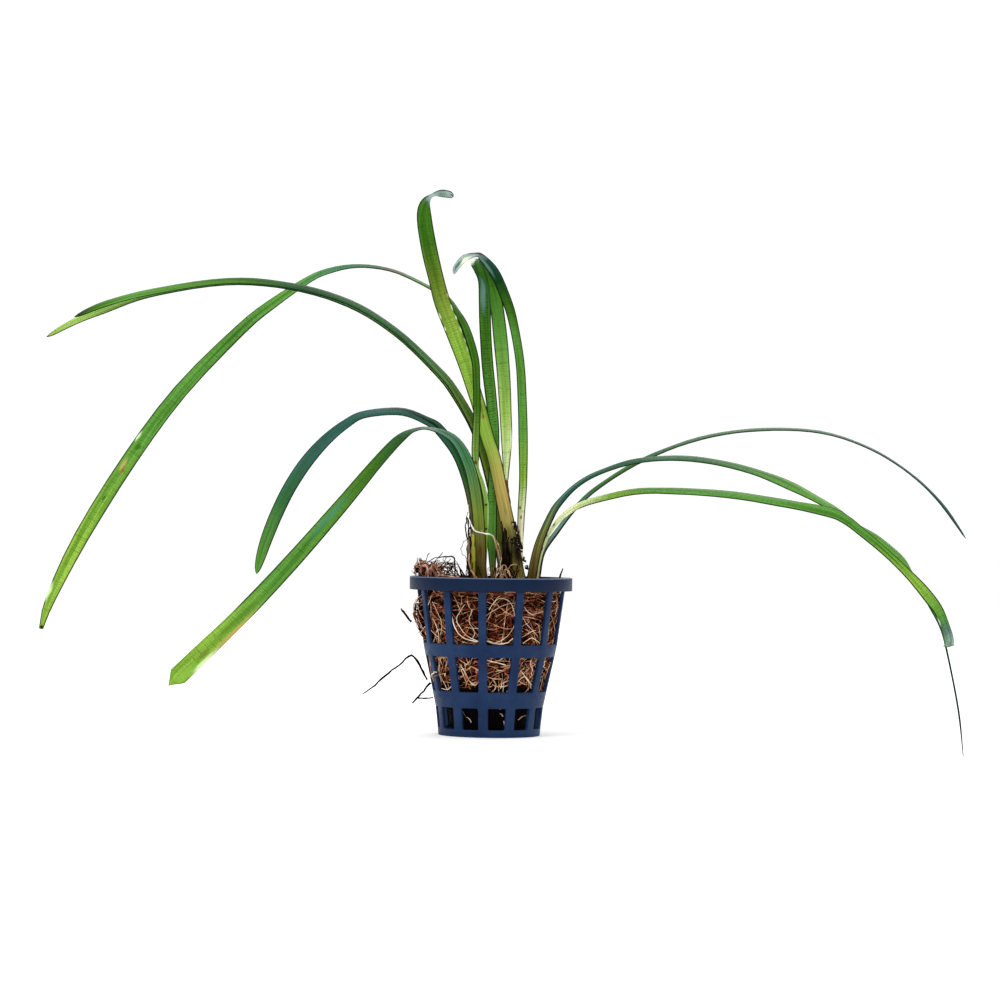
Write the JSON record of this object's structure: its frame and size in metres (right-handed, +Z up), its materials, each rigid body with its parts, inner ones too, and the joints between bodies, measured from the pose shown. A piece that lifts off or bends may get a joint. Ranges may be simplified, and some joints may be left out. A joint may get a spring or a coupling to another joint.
{
  "type": "potted aquarium plant",
  "caption": "Grassy aquarium plant with long strap leaves that rise, arch and droop from a small slotted net pot packed with coir fibre.",
  "frame": {"origin": "middle of the pot's flat underside", "axes": "+Z up out of the pot, -Y towards the pictured side, +X to the picture's right"},
  "size_m": [0.3149, 0.1398, 0.1806],
  "materials": {
    "navy_plastic": "smooth, slightly glossy",
    "coir_fibre": "rough fibre",
    "leaf_green": "damp, waxy",
    "leaf_dark_green": "damp, waxy",
    "dead_leaf_brown": "dull, papery",
    "dead_leaf_straw": "dull, papery",
    "root_dark": "dull",
    "root_pale": "dull"
  },
  "bodies": {
    "root": {"net_pot": "navy_plastic", "coir": "coir_fibre", "leaf_long_left": "leaf_green", "leaf_upper_left": "leaf_dark_green", "leaf_upper_left_back": "leaf_green", "leaf_short_left": "leaf_dark_green", "leaf_front_left": "leaf_green", "leaf_tall_middle": "leaf_green", "leaf_bent_back": "leaf_green", "leaf_tall_right": "leaf_green", "leaf_long_right": "leaf_dark_green", "leaf_broad_right": "leaf_green", "leaf_thin_right": "leaf_dark_green", "old_petiole": "dead_leaf_brown", "dead_sheath": "dead_leaf_brown", "yellow_sheath": "dead_leaf_straw", "twisted_sheath": "dead_leaf_brown", "brown_sheath": "dead_leaf_brown", "forked_root": "root_dark", "upper_root": "root_dark", "lower_root": "root_dark", "side_root": "root_dark", "arched_root": "root_dark", "white_root": "root_pale", "dark_stub": "root_dark"}
  },
  "joints": []
}
